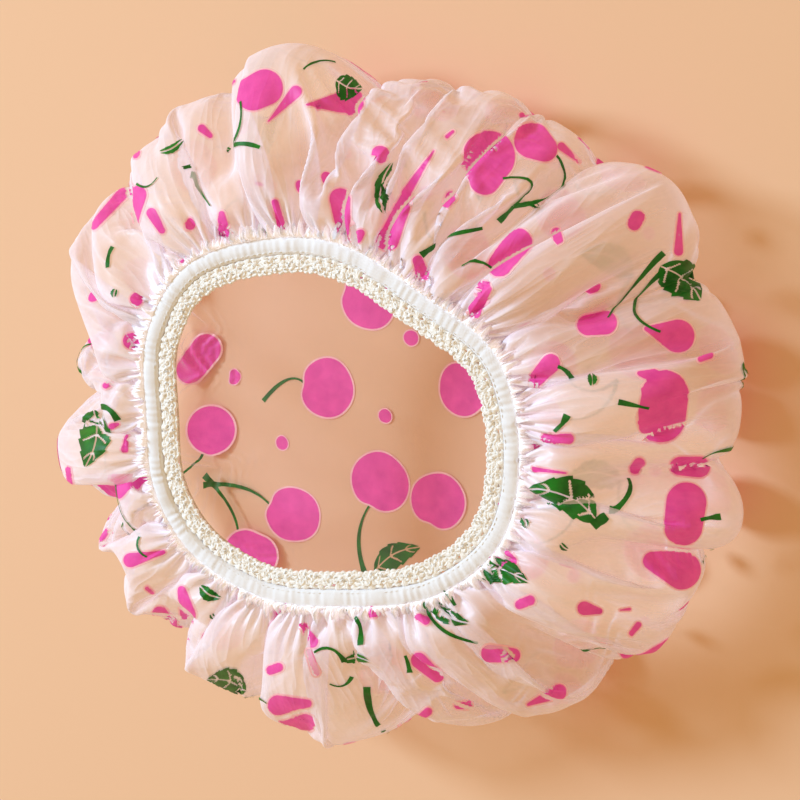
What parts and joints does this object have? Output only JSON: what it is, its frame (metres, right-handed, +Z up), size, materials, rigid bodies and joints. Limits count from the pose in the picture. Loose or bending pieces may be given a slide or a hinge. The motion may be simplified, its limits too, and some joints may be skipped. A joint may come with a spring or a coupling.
{
  "type": "shower cap",
  "caption": "Gathered bonnet of thin printed film with a white bound rim and an ivory openwork elastic, lying on its crown with the head opening up.",
  "frame": {"origin": "middle of the crown's flat rest, on the surface that the cap lies on", "axes": "+Z up out of the head opening, +X towards the wearer's left when +Y is the forehead side"},
  "size_m": [0.3194, 0.3037, 0.0926],
  "materials": {
    "film": "thin translucent film, soft sheen, printed with pink cherries",
    "binding": "matt white woven tape",
    "elastic": "ivory openwork knit",
    "rubber_thread": "matt",
    "sewing_thread": "matt twisted thread"
  },
  "bodies": {
    "root": {"cap_film": "film", "rim_binding": "binding", "knit_elastic": "elastic", "rubber_core_1": "rubber_thread", "rubber_core_2": "rubber_thread", "rubber_core_3": "rubber_thread", "rubber_core_4": "rubber_thread", "needle_thread": "sewing_thread", "bobbin_thread": "sewing_thread", "join_tack_thread": "sewing_thread"}
  },
  "joints": []
}
